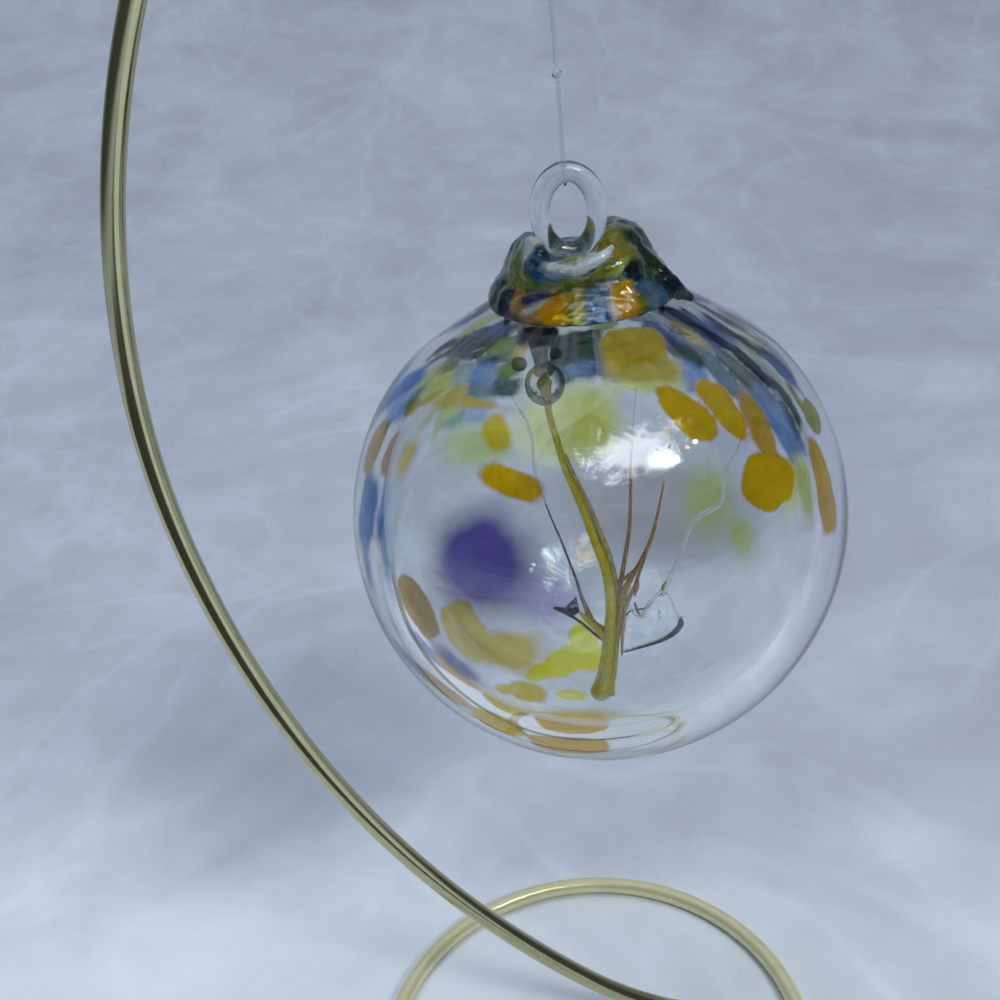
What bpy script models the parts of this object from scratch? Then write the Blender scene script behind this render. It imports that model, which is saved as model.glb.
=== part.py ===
"""A blown glass ball ornament that hangs by a thread from a bent-wire stand.

Everything is modelled round the globe's centre, and at the end the whole thing is moved so that
the stand's foot rests on z = 0 with the origin in the middle of the base.
"""

import math

import bmesh
import bpy
from mathutils import Vector

# Driving dimensions, in metres and degrees. Heights are above the globe's centre.
GAP = 0.0003  # left between pieces that touch

GLOBE_RADIUS = 0.050
GLOBE_SEGMENTS = 48
SHOULDER_FLATTENING = 0.025  # share of the radius that the shoulder lacks
SHOULDER_ANGLE = 32.0  # from the top
SHOULDER_SPREAD = 14.0

# Half outline of the cap, from its rim up and over to the axis: (radius, height).
CAP_OUTLINE = (
    (0.0179, 0.0469),
    (0.0179, 0.0482),
    (0.0171, 0.0497),
    (0.0157, 0.0511),
    (0.0148, 0.0528),
    (0.0138, 0.0550),
    (0.0127, 0.0571),
    (0.0111, 0.0589),
    (0.0091, 0.0601),
    (0.0072, 0.0605),
    (0.0052, 0.0600),
    (0.0026, 0.0592),
    (0.0000, 0.0588),
)
CAP_STEPS = 48
CAP_UNDERSIDE_STEPS = 6
FOLD_DEPTH = 0.0007  # of the twisted folds in the cap
FOLDS = 5
FOLD_TWIST = 120.0  # radians of turn for each metre of height
FOLD_SETTLE = 0.0035  # height over which the folds die out towards the globe
SADDLE_MIDDLE = -0.0012  # x of the dip that runs from front to back under the loop
SADDLE_REACH = 0.0056
SADDLE_DEPTH = 0.0044
SADDLE_FRONT = -0.0125  # y of the lip that closes the dip in front
SADDLE_FLOOR = 0.0540
KNOB_PLACE = Vector((0.0095, -0.0030, 0.0575))
KNOB_RADIUS = 0.0032
KNOB_HEIGHT = 0.0011

LOOP_CENTRE = Vector((-0.0012, 0.0, 0.0625))
LOOP_HALF_WIDTH = 0.0054  # to the middle of the rod
LOOP_HALF_HEIGHT = 0.0077
LOOP_ROD_RADIUS = 0.00175
LOOP_POINTS = 36

WIRE_RADIUS = 0.00225
FOOT_HEIGHT = -0.15285  # of the middle of the foot's wire
FOOT_CENTRE = Vector((-0.0102, -0.0049))
FOOT_RADIUS = 0.0542
FOOT_FREE_END = 4.0  # where the ring starts, as an angle from +X
ARM_LANDS_AT = 0.026  # x where the arm leaves the foot's level
# The arm's bends from the foot up to the hook's tip, all turning the same way: (radius, turn).
ARM_BENDS = ((0.0382, 27.4), (0.0889, 15.1), (0.2394, 38.7), (0.1760, 45.1), (0.0328, 143.7), (0.008, 200))
WIRE_STEP = 0.0062  # longest straight stretch of wire in the mesh
WIRE_TURN = 11.0  # most that one stretch turns

THREAD_RADIUS = 0.0003
THREAD_X = -0.0018
THREAD_STEP = 0.0016
KNOT_HEIGHT = 0.0870
KNOT_RADIUS = 0.0009


def clear_scene():
    for obj in list(bpy.data.objects):
        bpy.data.objects.remove(obj, do_unlink=True)


def make_material(name, colour, roughness, metallic=0.0, transmission=0.0, ior=1.5):
    material = bpy.data.materials.new(name)
    material.use_nodes = True
    shader = material.node_tree.nodes["Principled BSDF"]
    shader.inputs["Base Color"].default_value = (*colour, 1.0)
    shader.inputs["Roughness"].default_value = roughness
    shader.inputs["Metallic"].default_value = metallic
    shader.inputs["Transmission Weight"].default_value = transmission
    shader.inputs["IOR"].default_value = ior
    return material


def add_object(name, data, material, parent):
    obj = bpy.data.objects.new(name, data)
    bpy.context.scene.collection.objects.link(obj)
    data.materials.append(material)
    obj.parent = parent
    return obj


def mesh_from(bm, name):
    """A smooth-shaded mesh of bm, its doubles merged and its faces turned outwards."""
    bmesh.ops.remove_doubles(bm, verts=bm.verts, dist=1e-6)
    bmesh.ops.recalc_face_normals(bm, faces=bm.faces)
    mesh = bpy.data.meshes.new(name)
    bm.to_mesh(mesh)
    bm.free()
    mesh.shade_smooth()
    return mesh


def tube_curve(name, points, radius, closed=False, resolution=3):
    """A round tube along points, with 2 * (resolution + 2) sides."""
    curve = bpy.data.curves.new(name, "CURVE")
    curve.dimensions = "3D"
    curve.bevel_depth = radius
    curve.bevel_resolution = resolution
    curve.use_fill_caps = not closed
    spline = curve.splines.new("POLY")
    spline.points.add(len(points) - 1)
    for spot, place in zip(spline.points, points):
        spot.co = (*place, 1.0)
    spline.use_cyclic_u = closed
    return curve


# Globe


def globe_radius_at(angle):
    """The globe's radius at an angle in degrees from its top: the shoulder is a little flat."""
    off = (angle - SHOULDER_ANGLE) / SHOULDER_SPREAD
    return GLOBE_RADIUS * (1.0 - SHOULDER_FLATTENING * math.exp(-off * off))


def build_globe(material, parent):
    bm = bmesh.new()
    bmesh.ops.create_uvsphere(
        bm, u_segments=GLOBE_SEGMENTS, v_segments=GLOBE_SEGMENTS // 2, radius=1.0
    )
    for vert in bm.verts:
        vert.co *= globe_radius_at(math.degrees(vert.co.angle(Vector((0, 0, 1)))))
    return add_object("globe", mesh_from(bm, "globe"), material, parent)


# Cap


def cap_half_outline():
    """The underside, GAP above the globe, from the axis out to the rim, and then the outside."""
    rim = Vector((CAP_OUTLINE[0][0], 0.0, CAP_OUTLINE[0][1]))
    rim_angle = math.degrees(math.atan2(rim.x, rim.z))
    outline = []
    for step in range(CAP_UNDERSIDE_STEPS + 1):
        angle = rim_angle * step / CAP_UNDERSIDE_STEPS
        reach = globe_radius_at(angle) + GAP
        turn = math.radians(angle)
        outline.append(Vector((reach * math.sin(turn), 0.0, reach * math.cos(turn))))
    return outline + [Vector((radius, 0.0, height)) for radius, height in CAP_OUTLINE]


def fold_cap(vert):
    """Moves a point of the cap's outside by the twisted folds, the saddle under the loop and the knob."""
    angle = math.degrees(vert.co.angle(Vector((0, 0, 1))))
    above = vert.co.length - globe_radius_at(angle) - GAP
    settled = min(max(above / FOLD_SETTLE, 0.0), 1.0)
    outward = Vector((vert.co.x, vert.co.y, 0.0))
    across = (vert.co.x - SADDLE_MIDDLE) / SADDLE_REACH
    high = min(max((vert.co.z - SADDLE_FLOOR) / 0.004, 0.0), 1.0)
    inward = min(max((vert.co.y - SADDLE_FRONT) / 0.003, 0.0), 1.0)
    vert.co.z -= SADDLE_DEPTH * math.exp(-(across**4)) * high * inward
    if settled == 0.0 or outward.length < 0.001:
        return
    around = math.atan2(vert.co.y, vert.co.x)
    fold = math.sin(FOLDS * around + FOLD_TWIST * vert.co.z)
    near_knob = (vert.co - KNOB_PLACE).length / KNOB_RADIUS
    push = FOLD_DEPTH * fold * settled + KNOB_HEIGHT * math.exp(-near_knob * near_knob)
    vert.co += outward.normalized() * push


def build_cap(material, parent, groove):
    bm = bmesh.new()
    verts = [bm.verts.new(place) for place in cap_half_outline()]
    edges = [bm.edges.new(pair) for pair in zip(verts, verts[1:])]
    bmesh.ops.spin(
        bm,
        geom=verts + edges,
        cent=(0, 0, 0),
        axis=(0, 0, 1),
        angle=math.tau,
        steps=CAP_STEPS,
        use_merge=True,
    )
    bmesh.ops.remove_doubles(bm, verts=bm.verts, dist=1e-6)
    for vert in bm.verts:
        fold_cap(vert)
    cap = add_object("cap", mesh_from(bm, "cap"), material, parent)
    cut = cap.modifiers.new("loop groove", "BOOLEAN")
    cut.operation = "DIFFERENCE"
    cut.solver = "EXACT"
    cut.object = groove
    return cap


# Hanging loop


def loop_route():
    route = []
    for step in range(LOOP_POINTS):
        turn = math.tau * step / LOOP_POINTS
        across = LOOP_HALF_WIDTH * math.cos(turn)
        up = LOOP_HALF_HEIGHT * math.sin(turn)
        route.append(LOOP_CENTRE + Vector((across, 0.0, up)))
    return route


def build_loop(material, parent):
    curve = tube_curve("hanging_loop", loop_route(), LOOP_ROD_RADIUS, closed=True)
    return add_object("hanging_loop", curve, material, parent)


def build_loop_groove(parent):
    """A cutter a little fatter than the loop, which makes its seat in the cap."""
    curve = tube_curve("loop_groove", loop_route(), LOOP_ROD_RADIUS + GAP, closed=True)
    guide = bpy.data.objects.new("groove_guide", curve)
    mesh = bpy.data.meshes.new_from_object(guide)
    bpy.data.objects.remove(guide)
    groove = bpy.data.objects.new("loop_groove", mesh)
    bpy.context.scene.collection.objects.link(groove)
    groove.parent = parent
    groove.hide_render = True
    groove.display_type = "WIRE"
    return groove


# Wire stand


def steps_for(radius, turn):
    return math.ceil(max(turn / WIRE_TURN, math.radians(turn) * radius / WIRE_STEP))


def landing_bend():
    """Radius and middle of the bend that joins the foot's ring to the arm, tangent to both."""
    across = ARM_LANDS_AT - FOOT_CENTRE.x
    back = -FOOT_CENTRE.y
    radius = (FOOT_RADIUS**2 - across**2 - back**2) / (2 * (FOOT_RADIUS - back))
    return radius, Vector((ARM_LANDS_AT, -radius))


def foot_route():
    """The ring on the table from its free end, and the tighter bend that turns under the arm."""
    radius, middle = landing_bend()
    joins_at = math.degrees(math.atan2(*(middle - FOOT_CENTRE).yx))
    arcs = (
        (FOOT_CENTRE, FOOT_RADIUS, FOOT_FREE_END, 360.0 + joins_at),
        (middle, radius, joins_at, 90.0),
    )
    route = []
    for centre, arc_radius, start, end in arcs:
        steps = steps_for(arc_radius, end - start)
        for step in range(steps):
            turn = math.radians(start + (end - start) * step / steps)
            place = centre + arc_radius * Vector((math.cos(turn), math.sin(turn)))
            route.append(Vector((place.x, place.y, FOOT_HEIGHT)))
    return route


def arm_route():
    """The arm in the plane y = 0, bend after bend, from the foot to the hook's tip."""
    place = Vector((ARM_LANDS_AT, 0.0, FOOT_HEIGHT))
    heading = 180.0
    route = [place.copy()]
    for radius, turn in ARM_BENDS:
        steps = steps_for(radius, turn)
        for _ in range(steps):
            before, heading = math.radians(heading), heading - turn / steps
            after = math.radians(heading)
            place.x += radius * (math.sin(before) - math.sin(after))
            place.z += radius * (math.cos(after) - math.cos(before))
            route.append(place.copy())
    return route


def build_stand(material, parent):
    curve = tube_curve("wire_stand", foot_route() + arm_route(), WIRE_RADIUS, resolution=4)
    return add_object("wire_stand", curve, material, parent)


# Thread


def hook_height():
    """Height of the middle of the wire at the hook's lowest point, where the thread lies."""
    before_hook = len(ARM_BENDS) - 1
    place, heading = FOOT_HEIGHT, math.pi
    for radius, turn in ARM_BENDS[:before_hook]:
        after = heading - math.radians(turn)
        place += radius * (math.cos(after) - math.cos(heading))
        heading = after
    return place + ARM_BENDS[before_hook][0] * (-1.0 - math.cos(heading))


def thread_route():
    """From the knot up the back, over the hook, down the front, under the loop and back up."""
    x, hook, knot = THREAD_X, hook_height(), KNOT_HEIGHT
    rod = LOOP_CENTRE.z + LOOP_HALF_HEIGHT
    over = WIRE_RADIUS + THREAD_RADIUS + GAP
    under = LOOP_ROD_RADIUS + THREAD_RADIUS + GAP
    clear = KNOT_RADIUS + THREAD_RADIUS + GAP
    diagonal = math.sqrt(0.5)
    return [
        Vector((x, 0.0004, knot + clear)),
        Vector((x, 0.0011, knot + 0.005)),
        Vector((x, 0.92 * over, hook - 0.005)),
        Vector((x, over, hook)),
        Vector((x, diagonal * over, hook + diagonal * over)),
        Vector((x, 0.0, hook + over)),
        Vector((x, -diagonal * over, hook + diagonal * over)),
        Vector((x, -over, hook)),
        Vector((x, -0.92 * over, hook - 0.005)),
        Vector((x, -clear, knot)),
        Vector((x, -0.97 * under, rod + 0.004)),
        Vector((x, -under, rod)),
        Vector((x, -diagonal * under, rod - diagonal * under)),
        Vector((x, 0.0, rod - under)),
        Vector((x, diagonal * under, rod - diagonal * under)),
        Vector((x, under, rod)),
        Vector((x, 0.78 * under, rod + 0.005)),
        Vector((x, 0.0004, knot - clear)),
    ]


def smooth_through(points, step):
    """Points about step apart on a centripetal Catmull-Rom curve through the given ones."""
    ends = [2 * points[0] - points[1], *points, 2 * points[-1] - points[-2]]
    smooth = [points[0]]
    for a, b, c, d in zip(ends, ends[1:], ends[2:], ends[3:]):
        gaps = [math.sqrt((q - p).length) for p, q in ((a, b), (b, c), (c, d))]
        into = (c - b) - (c - a) * gaps[1] / (gaps[0] + gaps[1]) + (b - a) * gaps[1] / gaps[0]
        out = (c - b) - (d - b) * gaps[1] / (gaps[1] + gaps[2]) + (d - c) * gaps[1] / gaps[2]
        count = max(1, round((c - b).length / step))
        for number in range(1, count + 1):
            t = number / count
            rise = t * t * (3 - 2 * t)
            smooth.append(b + (c - b) * rise + into * (t - 2 * t**2 + t**3) + out * (t**3 - t**2))
    return smooth


def build_thread(material, parent):
    route = smooth_through(thread_route(), THREAD_STEP)
    curve = tube_curve("thread", route, THREAD_RADIUS, resolution=2)
    return add_object("thread", curve, material, parent)


def build_knot(material, parent):
    bm = bmesh.new()
    bmesh.ops.create_icosphere(bm, subdivisions=2, radius=KNOT_RADIUS)
    bmesh.ops.translate(bm, verts=bm.verts, vec=(THREAD_X, 0.0, KNOT_HEIGHT))
    return add_object("thread_knot", mesh_from(bm, "thread_knot"), material, parent)


# Whole thing


def settle_on_origin(base, pieces):
    """Moves the base so that the pieces stand on z = 0, centred on the origin."""
    bpy.context.view_layer.update()
    graph = bpy.context.evaluated_depsgraph_get()
    corners = []
    for piece in pieces:
        evaluated = piece.evaluated_get(graph)
        mesh = evaluated.to_mesh()
        corners += [evaluated.matrix_world @ vert.co for vert in mesh.vertices]
        evaluated.to_mesh_clear()
    low = [min(corner[axis] for corner in corners) for axis in range(3)]
    high = [max(corner[axis] for corner in corners) for axis in range(3)]
    base.location = (-(low[0] + high[0]) / 2, -(low[1] + high[1]) / 2, -low[2])


def main():
    clear_scene()
    clear_glass = make_material("clear_glass", (0.96, 0.98, 1.0), 0.02, 0.0, 1.0)
    colour_glass = make_material("colour_glass", (0.10, 0.20, 0.42), 0.05, 0.0, 0.4)
    gold_wire = make_material("gold_wire", (0.72, 0.62, 0.34), 0.22, 1.0)
    nylon = make_material("nylon", (0.86, 0.90, 0.94), 0.25, 0.0, 0.6)

    base = bpy.data.objects.new("ornament_on_stand", None)
    bpy.context.scene.collection.objects.link(base)
    groove = build_loop_groove(base)
    pieces = [
        build_globe(clear_glass, base),
        build_cap(colour_glass, base, groove),
        build_loop(clear_glass, base),
        build_stand(gold_wire, base),
    ]
    build_thread(nylon, base)
    build_knot(nylon, base)
    settle_on_origin(base, pieces)


main()
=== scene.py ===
import math

import bmesh
import bpy
from mathutils import Matrix, Vector, noise


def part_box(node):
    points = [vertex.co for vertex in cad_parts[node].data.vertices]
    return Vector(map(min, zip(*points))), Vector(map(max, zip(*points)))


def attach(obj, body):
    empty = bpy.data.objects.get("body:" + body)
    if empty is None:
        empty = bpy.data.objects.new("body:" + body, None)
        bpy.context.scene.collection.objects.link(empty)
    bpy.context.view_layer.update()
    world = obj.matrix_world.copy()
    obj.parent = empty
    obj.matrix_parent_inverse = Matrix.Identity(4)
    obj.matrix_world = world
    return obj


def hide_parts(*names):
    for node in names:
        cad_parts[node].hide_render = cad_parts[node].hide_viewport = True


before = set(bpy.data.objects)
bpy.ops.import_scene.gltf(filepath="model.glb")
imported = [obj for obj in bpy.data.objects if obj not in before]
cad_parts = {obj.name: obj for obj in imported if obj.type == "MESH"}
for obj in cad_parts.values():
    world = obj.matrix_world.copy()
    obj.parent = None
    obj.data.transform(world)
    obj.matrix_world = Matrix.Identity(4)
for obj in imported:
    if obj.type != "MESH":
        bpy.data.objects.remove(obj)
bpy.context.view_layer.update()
mm = 0.001
globeLow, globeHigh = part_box("globe")
globeCentre = (globeLow + globeHigh) / 2
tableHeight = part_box("wire_stand")[0].z
upward = Vector((0, 0, 1))
print("loaded the frame")


def place(x, y, z):  # millimetres from the globe's centre
    return globeCentre + Vector((x, y, z)) * mm


def fromCentre(point):  # back to millimetres from the globe's centre
    return (point - globeCentre) / mm


def addToScene(name, data):
    obj = bpy.data.objects.new(name, data)
    bpy.context.scene.collection.objects.link(obj)
    return obj


def addPiece(name, data, material, slot, *nodes):
    obj = addToScene(name, data)
    data.materials.append(material)
    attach(obj, "root")
    if nodes:
        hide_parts(*nodes)
    return obj


def addStagePiece(name, mesh, material):
    obj = addToScene(name, mesh)
    mesh.materials.append(material)
    return obj


def bmeshToMesh(bm, name, recalculate=True):
    bmesh.ops.remove_doubles(bm, verts=bm.verts, dist=1e-7)
    if recalculate:
        bmesh.ops.recalc_face_normals(bm, faces=bm.faces)
    mesh = bpy.data.meshes.new(name)
    bm.to_mesh(mesh)
    bm.free()
    mesh.shade_smooth()
    return mesh


def toItsPlace(bm):  # from millimetres round the globe's centre to the frame's metres
    bmesh.ops.scale(bm, vec=(mm, mm, mm), verts=bm.verts)
    bmesh.ops.translate(bm, vec=globeCentre, verts=bm.verts)


def smoothStep(t):
    t = min(max(t, 0.0), 1.0)
    return t * t * (3 - 2 * t)


def stretches(points):  # each stretch between two points, with the points before and after it
    ends = [2 * points[0] - points[1], *points, 2 * points[-1] - points[-2]]
    return zip(ends, ends[1:], ends[2:], ends[3:])


def smoothCurve(points, count):  # count places on each stretch of a Catmull-Rom curve
    curve = [points[0]]
    for a, b, c, d in stretches(points):
        for number in range(1, count + 1):
            t = number / count
            curve.append(
                b * (2 - 5 * t**2 + 3 * t**3) / 2
                + c * (t + 4 * t**2 - 3 * t**3) / 2
                + a * (-t + 2 * t**2 - t**3) / 2
                + d * (t**3 - t**2) / 2
            )
    return curve


def roundCurve(name, points, radii, depth, resolution, closed=False):  # a round bar along the points
    curve = bpy.data.curves.new(name, "CURVE")
    curve.dimensions = "3D"
    curve.bevel_depth = depth
    curve.bevel_resolution = resolution
    curve.use_fill_caps = not closed
    spline = curve.splines.new("POLY")
    spline.points.add(len(points) - 1)
    for spot, point, radius in zip(spline.points, points, radii):
        spot.co = (*point, 1)
        spot.radius = radius
    spline.use_cyclic_u = closed
    return curve


# Camera

cameraSettings = {"lens": 43.2, "place": (-19.6, -218.2, 117.9), "lookDown": 27.26, "roll": -6.2}


def makeCamera(settings):
    camera = addToScene("camera", bpy.data.cameras.new("camera"))
    camera.data.lens = settings["lens"]
    camera.data.clip_start = 0.01
    tip = Matrix.Rotation(math.radians(90 - settings["lookDown"]), 4, "X")
    roll = Matrix.Rotation(math.radians(settings["roll"]), 4, "Z")
    camera.matrix_world = Matrix.Translation(place(*settings["place"])) @ tip @ roll
    bpy.context.scene.camera = camera


makeCamera(cameraSettings)


# Materials' common parts


def startMaterial(name, **sockets):
    material = bpy.data.materials.new(name)
    material.use_nodes = True
    tree = material.node_tree
    shader = tree.nodes["Principled BSDF"]
    for socket, value in sockets.items():
        shader.inputs[socket.replace("_", " ")].default_value = value
    return material, tree, shader


def addNode(tree, kind, inputs=(), **settings):
    node = tree.nodes.new("ShaderNode" + kind)
    for setting, value in settings.items():
        setattr(node, setting, value)
    for socket, value in dict(inputs).items():
        if isinstance(value, bpy.types.NodeSocket):
            tree.links.new(value, node.inputs[socket])
        else:
            node.inputs[socket].default_value = value
    return node


def objectPlace(tree, scale=(1, 1, 1)):  # coordinates from the globe's centre
    coordinates = addNode(tree, "TexCoord").outputs["Object"]
    centred = vectorMaths(tree, "SUBTRACT", coordinates, tuple(globeCentre))
    return addNode(tree, "Mapping", {"Vector": centred, "Scale": scale}).outputs["Vector"]


def addNoise(tree, vector, scale, detail, roughness, distortion=0.0):
    sockets = {"Vector": vector, "Scale": scale, "Detail": detail, "Roughness": roughness}
    return addNode(tree, "TexNoise", {**sockets, "Distortion": distortion}).outputs["Fac"]


def remap(tree, value, low, high, newLow=0.0, newHigh=1.0, soft=False):
    sockets = {"Value": value, "From Min": low, "From Max": high, "To Min": newLow, "To Max": newHigh}
    slope = "SMOOTHSTEP" if soft else "LINEAR"
    return addNode(tree, "MapRange", sockets, interpolation_type=slope).outputs["Result"]


def cloudy(tree, vector, scale, detail, roughness=0.5, distortion=0.0, low=0.0, high=1.0, spread=0.2):
    # noise that wanders between low and high, and is stretched more the smaller its spread
    cloud = addNoise(tree, vector, scale, detail, roughness, distortion)
    return remap(tree, cloud, 0.5 - spread, 0.5 + spread, low, high)


def maths(tree, operation, a, b=0.0):
    return addNode(tree, "Math", {0: a, 1: b}, operation=operation).outputs[0]


def vectorMaths(tree, operation, a, b=(0, 0, 0), output="Vector"):
    return addNode(tree, "VectorMath", {0: a, 1: b}, operation=operation).outputs[output]


def mixColours(tree, factor, a, b, blend="MIX"):
    node = addNode(tree, "Mix", data_type="RGBA", blend_type=blend)
    for socket, value in (("Factor_Float", factor), ("A_Color", a), ("B_Color", b)):
        target = next(s for s in node.inputs if s.identifier == socket)
        if isinstance(value, bpy.types.NodeSocket):
            tree.links.new(value, target)
        else:
            target.default_value = (*value, 1) if isinstance(value, tuple) else value
    return next(s for s in node.outputs if s.identifier == "Result_Color")


# Coloured glass that is melted into a clear surface: painted on as attributes, edged in the shader

glassColours = {
    "amber": (0.88, 0.53, 0.005),
    "deepAmber": (0.66, 0.38, 0.015),
    "gold": (0.61, 0.43, 0.01),
    "honey": (0.98, 0.72, 0.06),
    "brown": (0.72, 0.43, 0.05),
    "rust": (0.58, 0.37, 0.13),
    "ochre": (0.88, 0.72, 0.24),
    "mustard": (0.78, 0.62, 0.12),
    "yellow": (0.93, 0.88, 0.02),
    "lemon": (0.95, 0.99, 0.36),
    "citron": (0.9, 0.9, 0.16),
    "lime": (0.72, 0.82, 0.3),
    "leaf": (0.27, 0.42, 0.1),
    "olive": (0.36, 0.37, 0.04),
    "moss": (0.18, 0.27, 0.13),
    "darkGreen": (0.085, 0.15, 0.075),
    "teal": (0.075, 0.14, 0.11),
    "deepTeal": (0.03, 0.085, 0.045),
    "sea": (0.46, 0.66, 0.54),
    "sky": (0.48, 0.68, 0.9),
    "azure": (0.25, 0.43, 0.72),
    "blue": (0.085, 0.22, 0.47),
    "denim": (0.2, 0.33, 0.52),
    "cobalt": (0.035, 0.1, 0.27),
    "navy": (0.045, 0.08, 0.13),
    "ink": (0.03, 0.055, 0.055),
    "slate": (0.22, 0.34, 0.41),
    "purple": (0.15, 0.11, 0.4),
    "violet": (0.05, 0.045, 0.13),
    "mauve": (0.33, 0.34, 0.52),
    "plum": (0.13, 0.15, 0.17),
    "lilac": (0.62, 0.57, 0.8),
    "fog": (0.78, 0.74, 0.7),
    "ice": (0.9, 0.96, 0.98),
}
noColour = -6.0  # the depth that stands for clear glass, outside every fleck
hazeFrom = 2.0  # flecks softer than this are the far side's hazes, which are rounder and even
blendWithin = 1.4  # flecks blend where their depths differ by less


def layFleck(spotOn, colour, around, up, length, width, lean, soft=0.5, narrowing=0):
    turn, tilt = math.radians(around), math.radians(lean)
    outward, middle = spotOn(turn, up)
    east = Vector((math.cos(turn), math.sin(turn), 0))
    north = outward.cross(east)
    along = north * math.cos(tilt) + east * math.sin(tilt)
    across = east * math.cos(tilt) - north * math.sin(tilt)
    return middle, along, across, length / 2, width / 2, narrowing, soft, colour


def paintFlecks(mesh, layer, flecks, spotOn, wobble, deepen):  # the deepest fleck wins at each vertex
    laid = [layFleck(spotOn, colour, *row) for colour, rows in flecks.items() for row in rows]
    colours, edges, softs = [], [], []
    for vert in mesh.vertices:
        point = fromCentre(vert.co)
        best = second = (noColour, 0.3, "ice")
        for middle, along, across, halfLong, halfWide, narrowing, soft, colour in laid:
            offset = point - middle
            reach = halfLong + halfWide + 2 * soft
            if offset.length_squared > reach * reach:
                continue
            y = abs(offset.dot(along) / halfLong)
            x = abs(offset.dot(across) / halfWide) / max(1 - narrowing * offset.dot(along) / halfLong, 0.15)
            hazy = soft > hazeFrom
            power = 2.0 if hazy else 2.5
            ripple = 1 + (0.05 if hazy else wobble) * noise.noise(point * 0.3 + middle)
            depth = (1 - (x**power + y**power) ** (1 / power) * ripple) * min(halfLong, halfWide)
            if depth > best[0]:
                best, second = (depth, soft, colour), best
            elif depth > second[0]:
                second = (depth, soft, colour)
        share = 0.5 * (1 - smoothStep((best[0] - second[0]) / blendWithin)) if second[0] > -0.2 else 0
        mixed = Vector(glassColours[best[2]]).lerp(Vector(glassColours[second[2]]), share)
        colours += [*(channel**deepen for channel in mixed), 1.0]
        edges.append(best[0])
        softs.append(best[1])
    mesh.attributes.new(layer + "Colour", "FLOAT_COLOR", "POINT").data.foreach_set("color", colours)
    mesh.attributes.new(layer + "Edge", "FLOAT", "POINT").data.foreach_set("value", edges)
    mesh.attributes.new(layer + "Soft", "FLOAT", "POINT").data.foreach_set("value", softs)


def paintFlow(mesh):  # coordinates that change slowly from top to bottom, for streaks that run down
    flow = []
    for vert in mesh.vertices:
        point = fromCentre(vert.co)
        flat = Vector((point.x, point.y)).normalized() * 12
        flow += [flat.x, flat.y, point.normalized().z * 2.5 + point.length * 0.3]
    mesh.attributes.new("flow", "FLOAT_VECTOR", "POINT").data.foreach_set("vector", flow)


def readAttribute(tree, name, output="Fac"):
    return addNode(tree, "Attribute", attribute_name=name).outputs[output]


def fleckLayer(tree, layer, clear, vector, unevenness, ripple):
    # the colour of a painted layer over the colour called clear, uneven in depth and with an edge
    colour = readAttribute(tree, layer + "Colour", "Color")
    soft = readAttribute(tree, layer + "Soft")
    wander = cloudy(tree, vector, 420, 3, 0.6, 0.0, -ripple, ripple, spread=0.25)
    inside = maths(tree, "ADD", readAttribute(tree, layer + "Edge"), wander)
    low = maths(tree, "MULTIPLY", soft, -1.0)
    mask = remap(tree, inside, low, soft, soft=True)
    grain = remap(tree, soft, 1.0, 3.0, unevenness, unevenness / 5)
    depth = cloudy(tree, vector, 260, 4, 0.6, 0.6, -1.0, 1.0)
    depth = maths(tree, "ADD", maths(tree, "MULTIPLY", depth, grain), 1.0)
    deep = addNode(tree, "Gamma", {"Color": colour, "Gamma": depth}).outputs[0]
    return mixColours(tree, mask, clear, deep)


# Thread: doubled through the loop and over the hook, with both ends in one knot

threadSettings = {
    "radius": 0.3,
    "across": -1.8,
    "knot": 87.0,
    "knotRadius": 0.9,
    "knotWinds": 3,
    "knotTwist": 5.5,
    "knotRelief": 0.1,
    "gap": 0.3,
    "loopRod": 1.75,
    "hookWire": 2.25,
    "exit": 70.2,
    "step": 1.6,
}


def threadRoute(settings):
    x, knot, gap = settings["across"], settings["knot"], settings["gap"]
    rod = fromCentre(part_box("hanging_loop")[1]).z - settings["loopRod"]
    over = settings["hookWire"] + settings["radius"] + gap
    under = settings["loopRod"] + settings["radius"] + gap
    clear = settings["knotRadius"] + settings["radius"] + gap
    hook = fromCentre(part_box("thread")[1]).z - over - settings["radius"]
    slant = math.sqrt(0.5)
    return [
        (x, 0.4, knot + clear),
        (x, 1.1, knot + 5),
        (x, 0.92 * over, hook - 5),
        (x, over, hook),
        (x, slant * over, hook + slant * over),
        (x, 0, hook + over),
        (x, -slant * over, hook + slant * over),
        (x, -over, hook),
        (x, -0.92 * over, hook - 5),
        (x, -clear, knot),
        (x, -0.97 * under, rod + 4),
        (x, -under, rod),
        (x, -slant * under, rod - slant * under),
        (x, 0, rod - under),
        (x, slant * under, rod - slant * under),
        (x, under, rod),
        (x, 0.78 * under, rod + 5),
        (x, 0.4, knot - clear),
    ]


def evenCurve(points, step):  # the route's own centripetal curve, as the thread's solid has it
    curve = [points[0]]
    for a, b, c, d in stretches(points):
        gaps = [math.sqrt((q - p).length) for p, q in ((a, b), (b, c), (c, d))]
        into = (c - b) - (c - a) * gaps[1] / (gaps[0] + gaps[1]) + (b - a) * gaps[1] / gaps[0]
        out = (c - b) - (d - b) * gaps[1] / (gaps[1] + gaps[2]) + (d - c) * gaps[1] / gaps[2]
        count = max(1, round((c - b).length / step))
        for number in range(1, count + 1):
            t = number / count
            rise = t * t * (3 - 2 * t)
            curve.append(b + (c - b) * rise + into * (t - 2 * t**2 + t**3) + out * (t**3 - t**2))
    return curve


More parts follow.
